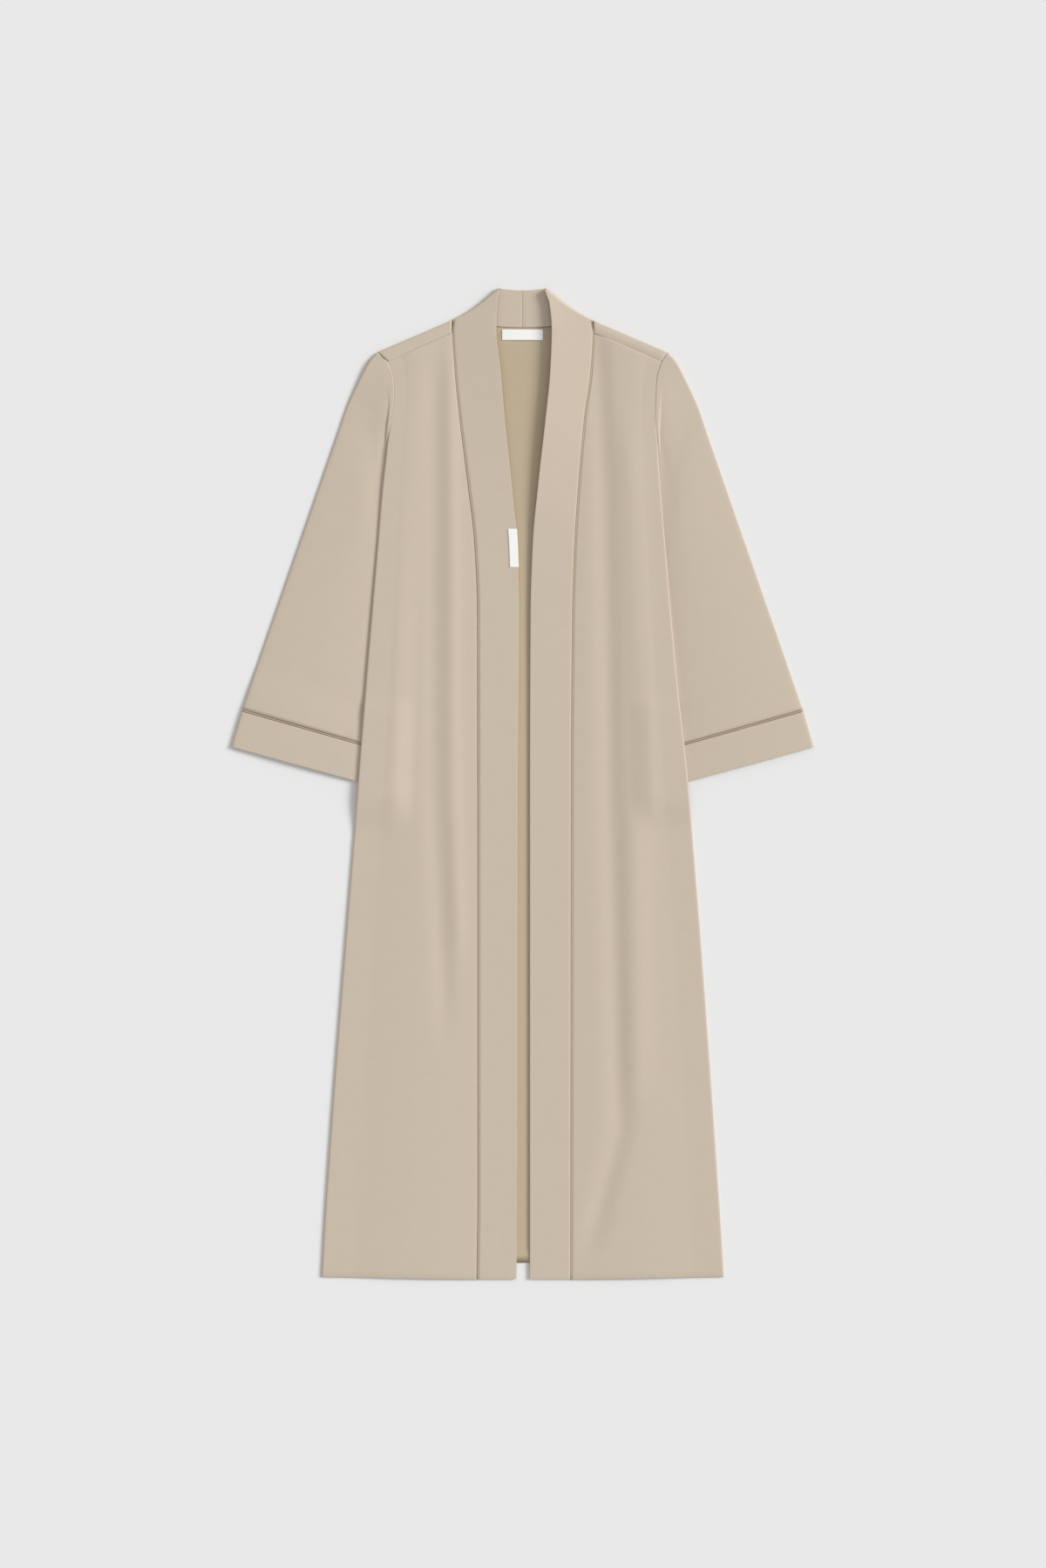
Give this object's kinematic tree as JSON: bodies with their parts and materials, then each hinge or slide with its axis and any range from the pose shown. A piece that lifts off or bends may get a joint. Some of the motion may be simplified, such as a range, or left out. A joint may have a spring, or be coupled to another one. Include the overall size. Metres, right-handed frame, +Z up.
{
  "type": "abaya cloak",
  "caption": "Open-front abaya cloak laid out flat, with wide sleeves, deep cuffs and a doubled band up each front edge and round the neck.",
  "frame": {"origin": "the middle of the laid-out cloak's box, on the surface that the cloak lies on", "axes": "+Y towards the neck, +X towards the wearer's left, +Z up off the surface"},
  "size_m": [0.836, 1.4199, 0.0142],
  "materials": {
    "crepe": "smooth matte crepe, pale sand beige",
    "crepe_doubled": "the same crepe folded double and pressed",
    "piping": "narrow covered cord of the same crepe",
    "label": "white woven ribbon, bare"
  },
  "bodies": {
    "root": {"back_panel": "crepe", "front_right": "crepe", "front_left": "crepe", "sleeve_right": "crepe", "sleeve_left": "crepe", "cuff_right": "crepe_doubled", "cuff_left": "crepe_doubled", "band_right": "crepe_doubled", "band_left": "crepe_doubled", "piping_band_right": "piping", "piping_band_left": "piping", "piping_cuff_right": "piping", "piping_cuff_left": "piping", "neck_label": "label", "band_label": "label"}
  },
  "joints": []
}
